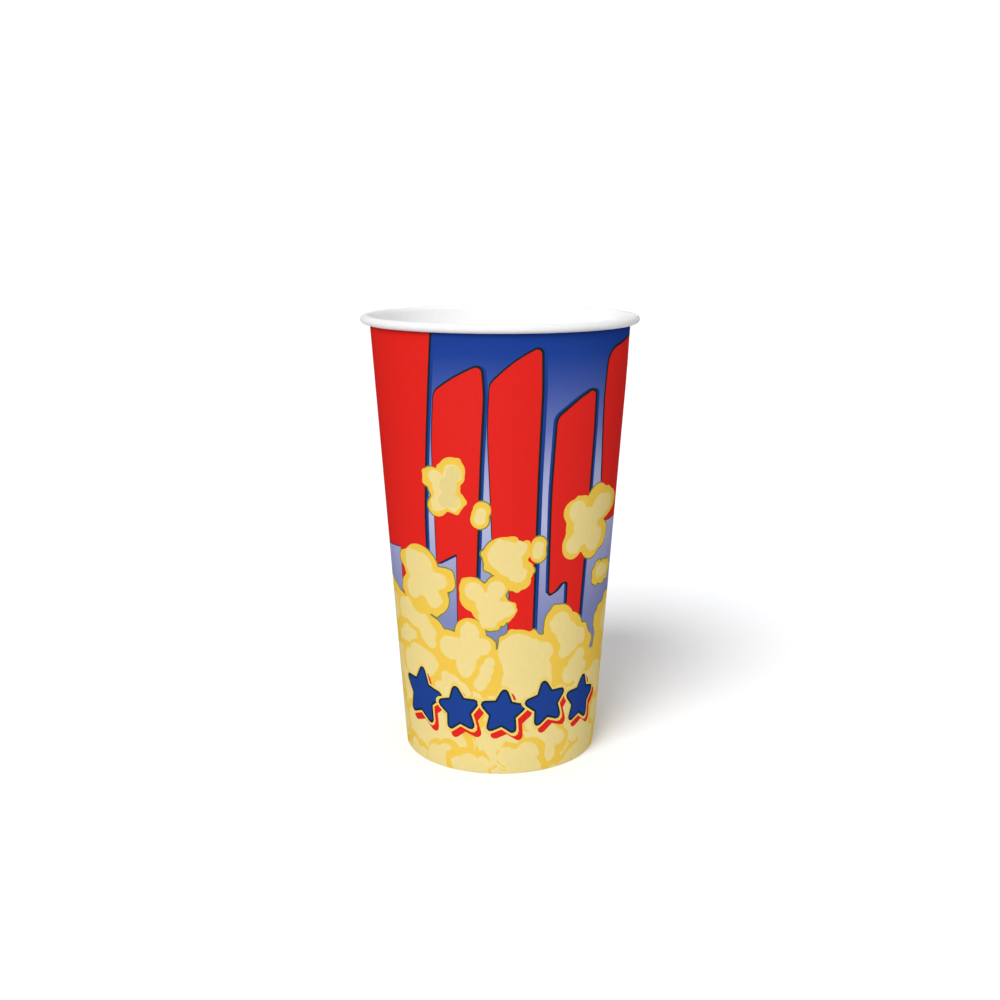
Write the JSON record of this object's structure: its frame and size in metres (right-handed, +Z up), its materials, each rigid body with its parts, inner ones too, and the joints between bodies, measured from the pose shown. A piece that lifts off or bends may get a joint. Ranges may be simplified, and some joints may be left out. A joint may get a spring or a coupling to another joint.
{
  "type": "paper popcorn cup",
  "caption": "Tall tapered paperboard cup for popcorn, empty, with a rolled rim, a lapped side seam and a recessed bottom disc.",
  "frame": {"origin": "centre of the foot ring, on the surface the cup stands on", "axes": "+Z up along the cup's axis, -Y towards the front of the print, with the side seam at +X"},
  "size_m": [0.118, 0.118, 0.1905],
  "materials": {
    "printed_board": "coated paperboard, printed outside in red, blue and butter yellow, plain white inside and on the rolled rim",
    "plain_board": "plain white paperboard with a thin satin coating"
  },
  "bodies": {
    "root": {"sidewall": "printed_board", "bottom_disc": "plain_board"}
  },
  "joints": []
}
